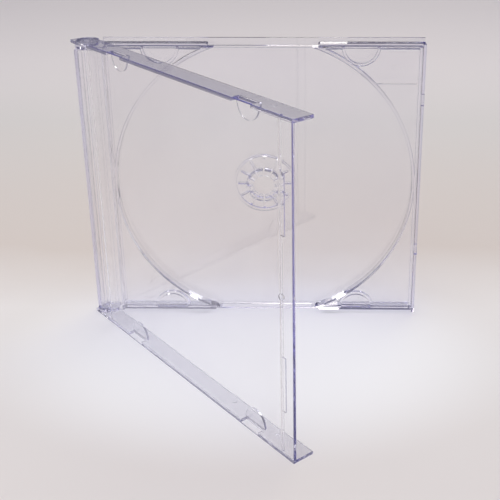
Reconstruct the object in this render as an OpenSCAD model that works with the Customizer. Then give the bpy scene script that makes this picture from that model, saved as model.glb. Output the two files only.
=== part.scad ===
// Clear moulded disc case, standing on its long edge with the lid part open.
// X runs along the width from the hinge side, Z is up, and the inside of the
// back shell faces -Y. Depths are counted from the outside of the back shell.

/* [Case] */
// Width of the closed case, from hinge side to free side
case_w = 142; // [140:0.5:150]
// Height of the closed case
case_h = 125; // [124:0.5:132]
// Thickness of the closed case
case_t = 10.1; // [10:0.1:12]

/* [Walls] */
// Thickness of the back shell's plate
back_plate = 1.2; // [1:0.1:1.5]
// Thickness of the lid's plate
lid_plate = 1.2; // [1:0.1:1.5]
// Thickness of the lid's top and bottom walls
lid_wall = 1.3; // [1:0.1:1.6]
// Thickness of the back shell's two upright walls
spine_wall = 1.2; // [1:0.1:1.5]
// Depth of the upright walls, plate included
spine_depth = 7.2; // [6.6:0.1:7.4]
// Thickness of the low walls at the back shell's top and bottom
low_wall = 1.2; // [0.8:0.1:1.4]
// Depth of the low walls, plate included
low_depth = 5.2; // [4:0.1:5.3]
// Gap between the lid's walls and the back shell's plate
lid_edge_gap = 0.15; // [0.1:0.05:0.3]
// Gap between the lid's walls and the walls inside them
lid_side_gap = 0.25; // [0.2:0.05:0.4]
// Gap between the tray and the walls around it
tray_gap = 0.2; // [0.1:0.05:0.4]

/* [Hinge] */
// Distance from the spine's outer face to the hinge axis
hinge_inset = 4.6; // [4.2:0.1:5]
// Radius of the lid's two hinge pins
pin_r = 1.5; // [1:0.1:1.8]
// Radial play of a pin in its hole
pin_play = 0.06; // [0.03:0.01:0.1]
// Length of a pin inside its hole
pin_reach = 1.3; // [0.8:0.1:1.4]
// Thickness of the lugs that hold the pins
lug_wall = 1.6; // [1.5:0.1:1.8]
// Width of the lugs, from the spine's outer face
lug_w = 9.2; // [8.6:0.1:10]
// Angle of the lid in the rest pose, from closed
open_angle = 49.2; // [20:0.2:100]

/* [Lid] */
// Distance from the spine to the hinge side of the lid's plate
plate_start = 14; // [13.8:0.1:16]
// Radius of the half-moon tabs that hold a booklet
tab_r = 5.9; // [4:0.1:6.2]
// Thickness of the half-moon tabs
tab_t = 0.8; // [0.6:0.1:0.9]
// Distance from the lid's plate to the tabs
tab_drop = 2.6; // [2.4:0.1:2.8]
// Distance from the spine to the middle of the first tabs
tab_x1 = 33.8; // [30:0.2:40]
// Distance from the free side to the middle of the second tabs
tab_x2 = 26.2; // [22:0.2:36]
// Width of the windows moulded through the wall over each tab
window_w = 10.4; // [8:0.2:11]
// Distance from the free side to the rib inside the lid
rib_inset = 6.6; // [5:0.1:8]
// Height of the rib inside the lid
rib_t = 0.9; // [0.6:0.1:1.2]
// Width of the rib inside the lid
rib_w = 0.7; // [0.5:0.1:1.2]
// Width of the two raised pads beside the rib
pad_w = 1.9; // [1:0.1:2.4]
// Distance from the lid's top or bottom to the raised pads
pad_z = 18.5; // [12:0.5:24]
// Height of the raised pads
pad_h = 21.5; // [10:0.5:30]
// Radius of the ring mark halfway up the rib
eye_r = 1.1; // [0.8:0.1:1.6]
// Distance from the free side to the lid's first snap bumps
bump_x1 = 42; // [38:0.5:46]
// Distance from the free side to the lid's second snap bumps
bump_x2 = 16; // [12:0.5:18]
// Radius of the snap bumps
bump_r = 0.9; // [0.6:0.1:1.2]
// Height of the snap bumps
bump_h = 0.15; // [0.1:0.01:0.18]

/* [Tray] */
// Thickness of the tray's skin
tray_skin = 1.1; // [0.9:0.1:1.4]
// Thickness of the tray's skirt
skirt_t = 0.9; // [0.8:0.1:1.2]
// Depth of the tray's flat front, counted from the back of the case
land_depth = 6.2; // [6:0.1:6.5]
// Depth of the disc recess's floor front
floor_depth = 2.7; // [2.6:0.1:3]
// Radius of the disc recess
recess_r = 62.8; // [61:0.1:63]
// Distance from the free side to the disc's centre
disc_inset = 66.1; // [65.5:0.1:66.5]
// Radius of the finger recesses that take the lid's tabs
scoop_r = 6.7; // [6.6:0.1:7.5]
// Depth of the finger recesses' floor front
scoop_depth = 4.4; // [4:0.1:4.6]
// Width of the raised strip beside the hinge
strip_w = 12.4; // [12:0.1:12.6]
// Depth of the raised strip's front
strip_depth = 9.5; // [9:0.1:9.6]
// Width of the two long grooves in the strip
groove_w = 0.5; // [0.4:0.1:0.8]
// Depth of the two long grooves in the strip
groove_depth = 0.35; // [0.2:0.05:0.5]

/* [Hub] */
// Radius of the hub's neck, which goes through a disc's hole
hub_r = 7.4; // [7:0.05:7.4]
// Radial overhang of the hub's lips over the neck
lip = 0.2; // [0.1:0.05:0.25]
// Height of the hub's neck under the lips
neck_h = 1.7; // [1.5:0.1:2]
// Height of the hub's crown with the lips
crown_h = 0.9; // [0.7:0.1:1.2]
// Thickness of the hub's fingers
finger_t = 1; // [0.8:0.1:1.2]
// Number of fingers around the hub
fingers = 12; // [8:1:14]
// Radius out to which the slots between the fingers cut the raised ring
slot_reach = 11.2; // [8.5:0.1:11.4]
// Width of the slots between the fingers
slot_w = 0.75; // [0.5:0.05:0.85]
// Radius of the hole in the middle of the hub
hub_hole_r = 4.4; // [3:0.1:4.8]
// Radius of the raised ring that carries the disc
seat_r = 12.9; // [11:0.1:16]
// Height of the raised ring over the recess's floor
seat_h = 1.2; // [0.8:0.1:1.5]

/* [Hidden] */
$fn = 96;
// A little more than nothing, so that cuts run through
over = 0.5;
mid_z = case_h / 2;
disc_x = case_w - disc_inset;
axis_depth = case_t / 2;
free_x = case_w - spine_wall;
// Height at which the back shell's walls start inside the lid's wall
shell_z = lid_wall + lid_side_gap;
tray_z = shell_z + low_wall + tray_gap;
tray_x = spine_wall + tray_gap;
tray_w = case_w - 2 * tray_x;
tray_h = case_h - 2 * tray_z;
// Half the length of the gap in the low walls where the disc runs out
run_out = sqrt(max(0, pow(recess_r + tray_skin, 2) - pow(tray_h / 2, 2)));
// The low walls reach from the hinge lug to the run-out, and on to the free side
lug_gap = 1.2;
low_x = lug_w + lug_gap;
// The plate's hinge corners are cut away where the lid's ears turn
ear_clear = 0.2;
ear_room = 0.6;
ear_r = axis_depth - ear_clear;
ear_notch = hinge_inset + axis_depth + ear_room;
lid_under = case_t - lid_plate;
tab_depth = lid_under - tab_drop;
seat_depth = floor_depth + seat_h;
// Distance from the hinge axis's depth to the snap bumps, towards the back
bump_back = 1;
tab_xs = [tab_x1, case_w - tab_x2];
bump_xs = [case_w - bump_x1, case_w - bump_x2];
// Place of the two grooves across the strip
groove_xs = [strip_w / 3, strip_w - 2.4];
// The lips are widest between these shares of the crown's height
lip_low = 0.4;
lip_high = 0.6;
// Snap windows in the free side's wall and the tray's noses in them
snap_z = [29.5, case_h - 27.5];
snap_h = 5;
snap_depth = 3;
snap_t = 1.4;
nose_reach = 0.5;
// Tooling marks on the tray's front
tick_t = 0.2;
tick_w = 0.5;
tick_h = 6.6;
tick_x = [20.4, case_w - 16];
tick_low = 9.9;
tick_top = case_h - 8.9;
dot_r = 0.7;
dot_x = case_w - 13.1;
dot_z = case_h - 10.8;
line_x = case_w - 20.4;
line_end = case_w - 3.2;
line_z = case_h - 18;
clear_color = [0.86, 0.88, 0.95, 0.45];

// A block from corner to corner: along the width, in depth, and in height
module block(x, depth, z) {
    translate([x[0], -depth[1], z[0]])
        cube([x[1] - x[0], depth[1] - depth[0], z[1] - z[0]]);
}

// A round bar along the depth
module bar(x, z, r, depth) {
    translate([x, -depth[0], z])
        rotate([90, 0, 0])
            cylinder(r = r, h = depth[1] - depth[0]);
}

// An upright round bar
module post(x, depth, r, z) {
    translate([x, -depth, z[0]])
        cylinder(r = r, h = z[1] - z[0]);
}

// Draws its children again at the same distance from the top edge
module top_and_bottom() {
    children();
    translate([0, 0, case_h])
        mirror([0, 0, 1])
            children();
}

// Puts the disc's centre line and the foot of the back plate at the origin
module place() {
    translate([-disc_x, back_plate / 2, 0])
        children();
}

// Turns the lid about the hinge axis
module swing(angle) {
    translate([hinge_inset, -axis_depth, 0])
        rotate([0, 0, -angle])
            translate([-hinge_inset, axis_depth, 0])
                children();
}

// Back shell: plate
module base_plate() {
    difference() {
        block([0, case_w], [0, back_plate], [0, case_h]);
        top_and_bottom()
            block([-over, ear_notch], [-over, back_plate + over], [-over, shell_z]);
    }
}

// Back shell: lug that holds one hinge pin
module hinge_lug() {
    difference() {
        intersection() {
            block([0, lug_w], [0, strip_depth], [shell_z, shell_z + lug_wall]);
            union() {
                block([0, lug_w], [0, axis_depth], [0, case_h]);
                post(hinge_inset, axis_depth, lug_w - hinge_inset, [0, case_h]);
            }
        }
        post(hinge_inset, axis_depth, pin_r + pin_play, [0, shell_z + lug_wall + over]);
    }
}

// Back shell: upright walls at the hinge side and the free side
module base_walls() {
    block([0, spine_wall], [0, spine_depth], [shell_z, case_h - shell_z]);
    difference() {
        block([free_x, case_w], [0, spine_depth], [shell_z, case_h - shell_z]);
        for (z = snap_z)
            block([free_x - over, case_w + over], [snap_depth, snap_depth + snap_t], [z, z + snap_h]);
    }
}

// Back shell: low walls beside the tray, open where the disc runs out
module base_low_walls() {
    block([low_x, disc_x - run_out], [0, low_depth], [shell_z, shell_z + low_wall]);
    block([disc_x + run_out, free_x], [0, low_depth], [shell_z, shell_z + low_wall]);
    for (x = [disc_x - run_out, disc_x + run_out])
        bar(x, shell_z + low_wall / 2, low_wall / 2, [0, low_depth]);
}

module base() {
    color(clear_color)
        place()
            union() {
                base_plate();
                base_walls();
                top_and_bottom() {
                    hinge_lug();
                    base_low_walls();
                }
            }
}

// Outline of the tray in front view, as a slab between two depths
module tray_slab(depth, inset = 0) {
    block([tray_x + inset, tray_x + tray_w - inset], depth,
          [tray_z + inset, tray_z + tray_h - inset]);
}

// One finger recess, or the solid around it, at the tray's edge
module scoops(r, depth) {
    top_and_bottom()
        for (x = tab_xs)
            bar(x, tray_z, r, depth);
}

// Tray: flat front, skirt and recess walls, without the hollows behind it
module tray_shell() {
    difference() {
        union() {
            difference() {
                tray_slab([back_plate, land_depth]);
                tray_slab([back_plate - over, land_depth - tray_skin], skirt_t);
            }
            intersection() {
                tray_slab([back_plate, land_depth]);
                union() {
                    bar(disc_x, mid_z, recess_r + tray_skin, [floor_depth - tray_skin, land_depth]);
                    scoops(scoop_r + tray_skin, [scoop_depth - tray_skin, land_depth]);
                }
            }
        }
        bar(disc_x, mid_z, recess_r, [floor_depth, land_depth + over]);
        scoops(scoop_r, [scoop_depth, land_depth + over]);
        tray_hinge_room([-over, case_t]);
    }
}

// Room that the raised strip and the hinge lugs take from the tray
module tray_hinge_room(depth) {
    block([-over, tray_strip_x()], depth, [-over, case_h + over]);
}

function tray_strip_x() = strip_w - skirt_t;

// Tray: raised strip beside the hinge, seated on the spine's wall
module tray_strip() {
    top = strip_depth - tray_skin;
    low = shell_z + lug_wall + tray_gap;
    difference() {
        union() {
            block([0, strip_w], [top, strip_depth], [low, case_h - low]);
            block([0, spine_wall], [spine_depth, strip_depth], [low, case_h - low]);
            block([strip_w - skirt_t, strip_w], [back_plate, strip_depth], [low, case_h - low]);
        }
        for (x = groove_xs)
            block([x, x + groove_w], [strip_depth - groove_depth, strip_depth + over],
                  [low - over, case_h]);
    }
}

// Tray: seat ring and fingered hub
module hub_solid() {
    bar(disc_x, mid_z, seat_r, [floor_depth - tray_skin, seat_depth]);
    translate([disc_x, -floor_depth, mid_z])
        rotate([90, 0, 0])
            rotate_extrude()
                polygon([
                    [0, 0], [hub_r, 0], [hub_r, seat_h + neck_h],
                    [hub_r + lip, seat_h + neck_h + crown_h * lip_low],
                    [hub_r + lip, seat_h + neck_h + crown_h * lip_high],
                    [hub_r - lip, seat_h + neck_h + crown_h], [0, seat_h + neck_h + crown_h]
                ]);
}

module hub_cuts() {
    crown_depth = seat_depth + neck_h + crown_h;
    bar(disc_x, mid_z, hub_hole_r, [0, case_t]);
    bar(disc_x, mid_z, hub_r - finger_t, [0, crown_depth - crown_h]);
    bar(disc_x, mid_z, seat_r - skirt_t, [0, floor_depth]);
    for (i = [0:fingers - 1])
        translate([disc_x, 0, mid_z])
            rotate([0, i * 360 / fingers, 0])
                translate([hub_hole_r - over, -case_t, -slot_w / 2])
                    cube([slot_reach + over - hub_hole_r, case_t, slot_w]);
}

// Tray: moulding marks and snap noses
module tray_marks() {
    front = [land_depth - over, land_depth + tick_t];
    for (x = tick_x)
        block([x, x + tick_w], front, [tick_low, tick_low + tick_h]);
    block([tick_x[1], tick_x[1] + tick_w], front, [tick_top - tick_h, tick_top]);
    block([line_x, line_end], [land_depth - over, land_depth + tick_t / 2], [line_z, line_z + tick_w / 2]);
    bar(dot_x, dot_z, dot_r, front);
    for (z = snap_z)
        block([tray_x + tray_w - over, tray_x + tray_w + tray_gap + nose_reach],
              [snap_depth + tray_gap, snap_depth + snap_t - tray_gap],
              [z + tray_gap, z + snap_h - tray_gap]);
}

module tray() {
    color(clear_color)
        place()
            union() {
                difference() {
                    union() {
                        tray_shell();
                        hub_solid();
                    }
                    hub_cuts();
                }
                tray_strip();
                tray_marks();
            }
}

// Lid: one side wall with its ear, seen along the hinge axis
module lid_wall_outline() {
    depth = back_plate + lid_edge_gap;
    union() {
        translate([hinge_inset, -case_t])
            square([case_w - hinge_inset, case_t - depth]);
        translate([0, -case_t])
            square([hinge_inset + over, axis_depth]);
        intersection() {
            translate([hinge_inset, -axis_depth])
                circle(r = ear_r);
            translate([0, -axis_depth - over])
                square([ear_notch, case_t]);
        }
    }
}

// Lid: one half-moon tab on the bottom wall
module booklet_tab(x) {
    intersection() {
        bar(x, lid_wall, tab_r, [tab_depth - tab_t, tab_depth]);
        block([0, case_w], [0, case_t], [lid_wall - over, case_h]);
    }
}

// Lid: bottom wall with its pin, tabs, windows and bumps
module lid_side() {
    difference() {
        linear_extrude(lid_wall)
            lid_wall_outline();
        for (x = tab_xs)
            block([x - window_w / 2, x + window_w / 2], [tab_depth, lid_under], [-over, lid_wall + over]);
    }
    post(hinge_inset, axis_depth, pin_r, [lid_wall - over, lid_wall + lid_side_gap + pin_reach]);
    for (x = tab_xs)
        booklet_tab(x);
    for (x = bump_xs)
        translate([x, bump_back - axis_depth, 0])
            cylinder(r = bump_r, h = lid_wall + bump_h);
}

// Lid: rib along the free side, its raised pads and its ring mark
module lid_rib() {
    x = case_w - rib_inset;
    block([x - rib_w, x], [lid_under - rib_t, lid_under + over], [lid_wall, case_h - lid_wall]);
    top_and_bottom()
        block([x - over, x + pad_w], [lid_under - rib_t / 2, lid_under + over], [pad_z, pad_z + pad_h]);
    bar(x - rib_w / 2, mid_z, eye_r, [lid_under - rib_t, lid_under + over]);
}

module lid() {
    color(clear_color)
        place()
            swing(open_angle)
                union() {
                    block([plate_start, case_w], [lid_under, case_t], [0, case_h]);
                    top_and_bottom()
                        lid_side();
                    lid_rib();
                }
}

base();
tray();
lid();
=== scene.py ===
import math

import bpy
from mathutils import Matrix, Vector


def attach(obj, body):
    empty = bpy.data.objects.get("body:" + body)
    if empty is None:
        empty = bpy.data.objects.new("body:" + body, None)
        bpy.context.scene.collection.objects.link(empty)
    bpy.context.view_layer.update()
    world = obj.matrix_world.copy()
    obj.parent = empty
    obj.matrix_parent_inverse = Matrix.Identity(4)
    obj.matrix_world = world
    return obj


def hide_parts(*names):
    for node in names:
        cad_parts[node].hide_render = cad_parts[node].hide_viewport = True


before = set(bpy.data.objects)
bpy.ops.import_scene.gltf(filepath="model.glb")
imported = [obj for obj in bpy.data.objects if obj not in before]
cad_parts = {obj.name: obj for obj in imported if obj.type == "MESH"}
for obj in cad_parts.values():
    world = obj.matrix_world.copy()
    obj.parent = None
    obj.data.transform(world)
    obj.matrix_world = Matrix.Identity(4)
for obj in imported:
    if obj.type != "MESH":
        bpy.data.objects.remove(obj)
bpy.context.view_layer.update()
bpy.ops.object.select_all(action="DESELECT")

MM = 0.001

# Rounding of the moulded edges, and how flat two faces are that count as one
EDGE_ROUND = 0.11 * MM
EDGE_STEPS = 2
SHARP_ANGLE = math.radians(32)
FLAT_ANGLE = math.radians(0.5)
MERGE_GAP = 0.001 * MM
# Hair's breadth of air where clear pieces touch, so that light leaves one before it enters the next
CONTACT_GAP = 0.03 * MM
# Fronts of the back plate and of the spine's wall, which the tray's feet stand on
PLATE_FRONT = -0.6 * MM
SPINE_FRONT = -6.6 * MM

# The plastic bends light as polystyrene does. Blueness is how dense the tint of a piece is
PLASTIC_IOR = 1.59
DEPTH_COLOR = (0.5, 0.48, 0.86, 1)
SHELL_BLUENESS = 50.0
TRAY_BLUENESS = 24.0
LID_BLUENESS = 15.0
# Heights of the waves that the flow of the plastic leaves, and of the hairlines
FLOW_HEIGHT = 0.03 * MM
TRAY_FLOW_HEIGHT = 0.04 * MM
HAIRLINE_HEIGHT = 0.002 * MM
# Scale of the waves and hairlines along their length, where 1 would not stretch them
FLOW_STRETCH = 0.35
HAIRLINE_STRETCH = 0.03
# Roughness of the clean plastic, and what haze and hairlines add to it
CLEAN_ROUGHNESS = 0.012
HAZE_ROUGHNESS = 0.03
HAIRLINE_ROUGHNESS = 0.03
HAZE_TONES = [(0.3, (1.0, 1.0, 1.0)), (0.72, (0.985, 0.985, 0.99))]
# Share of the lamplight that each face lets through
SHELL_VEIL = (0.978, 0.98, 0.984, 1)
LID_VEIL = (0.94, 0.94, 0.952, 1)

# The photograph's camera: place, turn in degrees, lens and sensor width in millimetres, and the
# shift that puts the middle of the lens where it lies in the photograph
CAMERA_PLACE = (22.48 * MM, -372.61 * MM, 206.8 * MM)
CAMERA_YAW = 1.18
CAMERA_PITCH = -22.39
CAMERA_ROLL = -0.18
CAMERA_LENS = 66.33
CAMERA_SENSOR = 36
CAMERA_SHIFT = (-0.1, -0.1)
CAMERA_NEAR = 0.01
CAMERA_FAR = 50

FLOOR_RADIUS = 6
FLOOR_SEGMENTS = 96
FIBRE_HEIGHT = 0.02 * MM
# The paper's tones from FLOOR_FRONT to FLOOR_BACK, along the depth, with painted light and shade
FLOOR_FRONT = -0.2
FLOOR_BACK = 0.5
FLOOR_TONES_AND_PAINTED_SHADE = [
    (0.04, (0.75, 0.71, 0.665)),
    (0.13, (0.78, 0.755, 0.71)),
    (0.2, (0.81, 0.78, 0.73)),
    (0.33, (0.68, 0.615, 0.545)),
    (0.78, (0.7, 0.675, 0.625)),
    (1, (0.78, 0.74, 0.7)),
]
# Middle, reach, share and colour of the pale pool of light painted on the floor
PAINTED_POOL_PLACE = (-0.005, -0.04)
PAINTED_POOL_REACH = (0.12, 0.08)
PAINTED_POOL_SHARE = 0.9
PAINTED_POOL_COLOR = (0.95, 0.955, 0.93, 1)

# Softboxes: name, place, width and height, power in watts, colour
SOFTBOXES = [
    ("key_softbox", (0.3, 0.5, 1.4), (0.4, 0.4), 5.5, (1, 0.985, 0.97)),
    ("top_softbox", (-0.1, -0.1, 1.6), (1.0, 1.0), 13.0, (1, 0.99, 0.98)),
    ("fill_softbox", (-0.6, -1.0, 0.9), (1.2, 1.2), 5.4, (1, 0.985, 0.965)),
    ("back_softbox", (-0.11, 3.0, 1.6), (0.44, 0.14), 0.8, (1, 0.92, 0.85)),
    ("low_back_softbox", (-0.02, 3.0, 0.82), (0.3, 0.12), 0.35, (1, 0.95, 0.88)),
    ("left_back_softbox", (-0.52, 1.2, 0.37), (0.1, 0.1), 0.16, (1, 1, 1)),
    ("right_back_softbox", (0.45, 1.2, 0.5), (0.1, 0.1), 0.16, (1, 1, 1)),
]
# What every softbox faces
CASE_MIDDLE = Vector((0, -0.03, 0.06))
# The studio is pale up to just over the horizon and dim above, between the softboxes
HEIGHT_COLORS = [(0.09, (0.46, 0.44, 0.46)), (0.17, (0.16, 0.155, 0.23))]
# Light goes on through the many faces of a clear wall seen along its length
LIGHT_BOUNCES = 64


class Value:
    """A number that varies over a surface, so that sums on it read as plain Python."""

    def __init__(self, shade, socket):
        self.shade = shade
        self.socket = socket

    def __add__(self, other):
        return self.shade.sum("ADD", self, other)

    def __sub__(self, other):
        return self.shade.sum("SUBTRACT", self, other)

    def __mul__(self, other):
        return self.shade.sum("MULTIPLY", self, other)

    def __rsub__(self, other):
        return self.shade.sum("SUBTRACT", other, self)

    __radd__ = __add__
    __rmul__ = __mul__


class Shade:
    """The nodes of one material, or of the world."""

    def __init__(self, owner):
        self.owner = owner
        self.owner.use_nodes = True
        self.tree = self.owner.node_tree
        self.tree.nodes.clear()

    def add(self, kind, settings=None, sockets=None):
        """Adds a node, with its settings first and then the values or links of its sockets."""
        node = self.tree.nodes.new(kind)
        for name, setting in (settings or {}).items():
            if name == "stops":
                self.set_stops(node.color_ramp, setting)
            else:
                setattr(node, name, setting)
        for name, value in (sockets or {}).items():
            if isinstance(value, Value):
                value = value.socket
            socket = self.find(node.inputs, name)
            if isinstance(value, bpy.types.NodeSocket):
                self.tree.links.new(value, socket)
            else:
                socket.default_value = value
        return node

    def find(self, sockets, name):
        """A socket by its number or name, or by its identifier where several share a name."""
        for socket in sockets:
            if socket.identifier == name:
                return socket
        return sockets[name]

    def blend(self, share, color, other):
        """One colour into another."""
        node = self.add(
            "ShaderNodeMix",
            {"data_type": "RGBA"},
            {"Factor_Float": share, "A_Color": color, "B_Color": other},
        )
        return self.find(node.outputs, "Result_Color")

    def set_stops(self, ramp, stops):
        while len(ramp.elements) < len(stops):
            ramp.elements.new(1)
        for element, (place, color) in zip(ramp.elements, stops):
            element.position = place
            element.color = (*color, 1)

    def sum(self, operation, first, second):
        node = self.add("ShaderNodeMath", {"operation": operation}, {0: first, 1: second})
        return Value(self, node.outputs["Value"])

    def place(self, scale=(1, 1, 1), turn=(0, 0, 0)):
        """Object coordinates, stretched and turned."""
        source = self.add("ShaderNodeTexCoord")
        mapping = self.add(
            "ShaderNodeMapping",
            {},
            {"Vector": source.outputs["Object"], "Scale": scale, "Rotation": turn},
        )
        return mapping.outputs["Vector"]

    def noise(self, place, scale, detail=2, roughness=0.5):
        node = self.add(
            "ShaderNodeTexNoise",
            {},
            {"Vector": place, "Scale": scale, "Detail": detail, "Roughness": roughness},
        )
        return Value(self, node.outputs["Fac"])

    def ramp(self, value, stops):
        node = self.add("ShaderNodeValToRGB", {"stops": stops}, {"Fac": value})
        return node.outputs["Color"]

    def mask(self, value, low, high):
        """0 below low, 1 above high, and smooth between."""
        node = self.add(
            "ShaderNodeMapRange",
            {"interpolation_type": "SMOOTHSTEP"},
            {"Value": value, "From Min": low, "From Max": high},
        )
        return Value(self, node.outputs["Result"])

    def bump(self, height, distance, strength=1.0, under=None):
        """Relief, on top of another relief where one is given."""
        sockets = {"Height": height, "Distance": distance, "Strength": strength}
        if under is not None:
            sockets["Normal"] = under
        return self.add("ShaderNodeBump", {}, sockets).outputs["Normal"]

    def let_lamps_through(self, surface, tint):
        """Clear for lamplight and for light off matt things, so the case throws a faint shadow."""
        ray = self.add("ShaderNodeLightPath")
        passing = self.sum(
            "MAXIMUM",
            Value(self, ray.outputs["Is Shadow Ray"]),
            Value(self, ray.outputs["Is Diffuse Ray"]),
        )
        veil = self.add("ShaderNodeBsdfTransparent", {}, {"Color": tint})
        mix = self.add(
            "ShaderNodeMixShader", {}, {"Fac": passing, 1: surface, 2: veil.outputs["BSDF"]}
        )
        return mix.outputs["Shader"]

    def finish(self, surface, volume=None):
        sockets = {"Surface": surface}
        if volume is not None:
            sockets["Volume"] = volume
        self.add("ShaderNodeOutputMaterial", {}, sockets)
        return self.owner


# Materials


def hairlines(shade, turn, spacing, share):
    """Fine straight handling scratches in one direction, 1 on a scratch and 0 beside it."""
    place = shade.place(scale=(1, 1, HAIRLINE_STRETCH), turn=(0, turn, 0))
    return shade.mask(shade.noise(place, spacing, detail=3), 1 - share, 1)


def clear_plastic(name, turn, waviness, blueness, veil):
    """Clear moulded polystyrene with its blue tint in depth, faint flow waves and hairlines.

    The turn sets each piece's waves and hairlines at another angle.
    """
    shade = Shade(bpy.data.materials.new(name))
    flow = shade.noise(shade.place(scale=(1, 1, FLOW_STRETCH), turn=(0, 0, turn)), 34, detail=2)
    haze = shade.noise(shade.place(turn=(turn, 0, 0)), 60, detail=5, roughness=0.6)
    scratches = hairlines(shade, 0.4 + turn, 900, 0.3) + hairlines(
        shade, 1.9 + turn, 700, 0.28
    )
    tint = shade.ramp(haze, HAZE_TONES)
    roughness = CLEAN_ROUGHNESS + HAZE_ROUGHNESS * haze * haze + HAIRLINE_ROUGHNESS * scratches
    waves = shade.bump(flow, waviness)
    normal = shade.bump(scratches, HAIRLINE_HEIGHT, 0.1, waves)
    plastic = shade.add(
        "ShaderNodeBsdfPrincipled",
        {},
        {
            "Base Color": tint,
            "Roughness": roughness,
            "Normal": normal,
            "IOR": PLASTIC_IOR,
            "Transmission Weight": 1.0,
        },
    )
    depth = shade.add(
        "ShaderNodeVolumeAbsorption", {}, {"Color": DEPTH_COLOR, "Density": blueness}
    )
    surface = shade.let_lamps_through(plastic.outputs["BSDF"], veil)
    return shade.finish(surface, depth.outputs["Volume"])


def floor_paper():
    """Matt warm paper, painted darker behind the case and with a painted pool of light in front."""
    shade = Shade(bpy.data.materials.new("floor_paper"))
    source = shade.add("ShaderNodeTexCoord")
    axes = shade.add("ShaderNodeSeparateXYZ", {}, {"Vector": source.outputs["Object"]})
    across = Value(shade, axes.outputs["X"])
    depth = Value(shade, axes.outputs["Y"])
    fibre = shade.noise(shade.place(), 900, detail=4)
    cloud = shade.noise(shade.place(), 9, detail=3)
    # Painted light and shade: the paper paler around the front of the case, darker behind it
    color = shade.ramp(
        shade.mask(depth + 0.05 * (cloud - 0.5), FLOOR_FRONT, FLOOR_BACK) + 0.01 * fibre,
        FLOOR_TONES_AND_PAINTED_SHADE,
    )
    # Painted pool of pale light, standing in for the light that the case throws in front
    painted_pool_x = (across - PAINTED_POOL_PLACE[0]) * (1 / PAINTED_POOL_REACH[0])
    painted_pool_y = (depth - PAINTED_POOL_PLACE[1]) * (1 / PAINTED_POOL_REACH[1])
    painted_pool = shade.mask(1 - (painted_pool_x * painted_pool_x + painted_pool_y * painted_pool_y), 0, 1)
    color = shade.blend(painted_pool * PAINTED_POOL_SHARE, color, PAINTED_POOL_COLOR)
    paper = shade.add(
        "ShaderNodeBsdfPrincipled",
        {},
        {
            "Base Color": color,
            "Roughness": 0.85,
            "Specular IOR Level": 0.2,
            "Normal": shade.bump(fibre, FIBRE_HEIGHT, 0.4),
        },
    )
    return shade.finish(paper.outputs["BSDF"])


# Pieces


def only_select(piece):
    bpy.ops.object.select_all(action="DESELECT")
    piece.select_set(True)
    bpy.context.view_layer.objects.active = piece


def moulding(node, name):
    """A copy of a CAD node with its flat faces made whole and its edges rounded."""
    only_select(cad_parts[node])
    bpy.ops.object.duplicate()
    piece = bpy.context.active_object
    piece.name = name
    piece.data.name = name
    piece.parent = None
    piece.matrix_world = Matrix.Identity(4)
    for key in list(piece.keys()):
        del piece[key]
    bpy.ops.object.mode_set(mode="EDIT")
    bpy.ops.mesh.select_all(action="SELECT")
    bpy.ops.mesh.remove_doubles(threshold=MERGE_GAP)
    bpy.ops.mesh.dissolve_limited(angle_limit=FLAT_ANGLE)
    bpy.ops.object.mode_set(mode="OBJECT")
    rounding = piece.modifiers.new("rounding", "BEVEL")
    rounding.width = EDGE_ROUND
    rounding.segments = EDGE_STEPS
    rounding.limit_method = "ANGLE"
    rounding.angle_limit = SHARP_ANGLE
    rounding.use_clamp_overlap = False
    rounding.miter_outer = "MITER_ARC"
    bpy.ops.object.modifier_apply(modifier=rounding.name)
    bpy.ops.object.shade_smooth_by_angle(angle=SHARP_ANGLE)
    even = piece.modifiers.new("even", "WEIGHTED_NORMAL")
    even.keep_sharp = True
    bpy.ops.object.modifier_apply(modifier=even.name)
    bpy.ops.object.select_all(action="DESELECT")
    return piece


def lift_off(piece, depth):
    """Moves the feet of the tray at one depth forward by the contact gap."""
    only_select(piece)
    bpy.ops.object.mode_set(mode="EDIT")
    bpy.ops.mesh.select_all(action="DESELECT")
    bpy.ops.object.mode_set(mode="OBJECT")
    for corner in piece.data.vertices:
        corner.select = abs(corner.co.y - depth) < MERGE_GAP
    bpy.ops.object.mode_set(mode="EDIT")
    bpy.ops.transform.translate(value=(0, -CONTACT_GAP, 0))
    bpy.ops.object.mode_set(mode="OBJECT")
    bpy.ops.object.select_all(action="DESELECT")


def dress(piece, node, body, material):
    piece.data.materials.clear()
    piece.data.materials.append(material)
    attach(piece, body)
    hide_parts(node)


def make_case():
    shell = moulding("base", "back_shell")
    shell_plastic = clear_plastic("shell_plastic", 0.3, FLOW_HEIGHT, SHELL_BLUENESS, SHELL_VEIL)
    dress(shell, "base", "shell", shell_plastic)
    tray = moulding("tray", "disc_tray")
    for depth in (PLATE_FRONT, SPINE_FRONT):
        lift_off(tray, depth)
    tray_plastic = clear_plastic("tray_plastic", 0.9, TRAY_FLOW_HEIGHT, TRAY_BLUENESS, SHELL_VEIL)
    dress(tray, "tray", "shell", tray_plastic)
    lid = moulding("lid", "front_lid")
    lid_plastic = clear_plastic("lid_plastic", 1.6, FLOW_HEIGHT, LID_BLUENESS, LID_VEIL)
    dress(lid, "lid", "cover", lid_plastic)


# Stage


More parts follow.
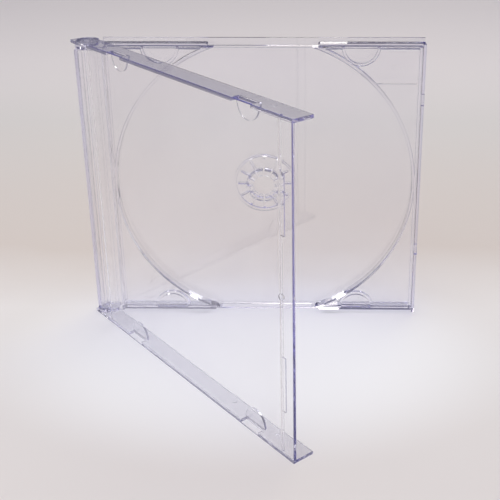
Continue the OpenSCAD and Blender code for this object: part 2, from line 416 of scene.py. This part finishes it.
def make_floor():
    bpy.ops.mesh.primitive_circle_add(
        vertices=FLOOR_SEGMENTS,
        radius=FLOOR_RADIUS,
        fill_type="NGON",
        location=(0, 0, -CONTACT_GAP),
    )
    floor = bpy.context.active_object
    floor.name = "floor"
    floor.data.materials.append(floor_paper())


def add_softbox(name, place, size, power, color):
    """A flat lamp that faces the middle of the case."""
    lamp = bpy.data.lights.new(name, "AREA")
    lamp.shape = "RECTANGLE"
    lamp.size, lamp.size_y = size
    lamp.energy = power
    lamp.color = color
    softbox = bpy.data.objects.new(name, lamp)
    softbox.location = place
    aim = CASE_MIDDLE - softbox.location
    softbox.rotation_euler = aim.to_track_quat("-Z", "Y").to_euler()
    bpy.context.scene.collection.objects.link(softbox)


def make_light():
    for softbox in SOFTBOXES:
        add_softbox(*softbox)
    shade = Shade(bpy.data.worlds.new("studio"))
    source = shade.add("ShaderNodeTexCoord")
    axes = shade.add("ShaderNodeSeparateXYZ", {}, {"Vector": source.outputs["Generated"]})
    glow = shade.add(
        "ShaderNodeBackground", {}, {"Color": shade.ramp(axes.outputs["Z"], HEIGHT_COLORS)}
    )
    shade.add("ShaderNodeOutputWorld", {}, {"Surface": glow.outputs["Background"]})
    bpy.context.scene.world = shade.owner
    bpy.context.scene.cycles.max_bounces = LIGHT_BOUNCES
    bpy.context.scene.cycles.glossy_bounces = LIGHT_BOUNCES
    bpy.context.scene.cycles.transmission_bounces = LIGHT_BOUNCES


def make_camera():
    lens = bpy.data.cameras.new("camera")
    lens.sensor_width = CAMERA_SENSOR
    lens.lens = CAMERA_LENS
    lens.shift_x, lens.shift_y = CAMERA_SHIFT
    lens.clip_start = CAMERA_NEAR
    lens.clip_end = CAMERA_FAR
    camera = bpy.data.objects.new("camera", lens)
    turn = (
        Matrix.Rotation(math.radians(CAMERA_YAW), 4, "Z")
        @ Matrix.Rotation(math.radians(90 + CAMERA_PITCH), 4, "X")
        @ Matrix.Rotation(math.radians(CAMERA_ROLL), 4, "Z")
    )
    camera.matrix_world = Matrix.Translation(CAMERA_PLACE) @ turn
    bpy.context.scene.collection.objects.link(camera)
    bpy.context.scene.camera = camera


make_case()
make_floor()
make_light()
make_camera()
bpy.context.scene.view_settings.view_transform = "Standard"
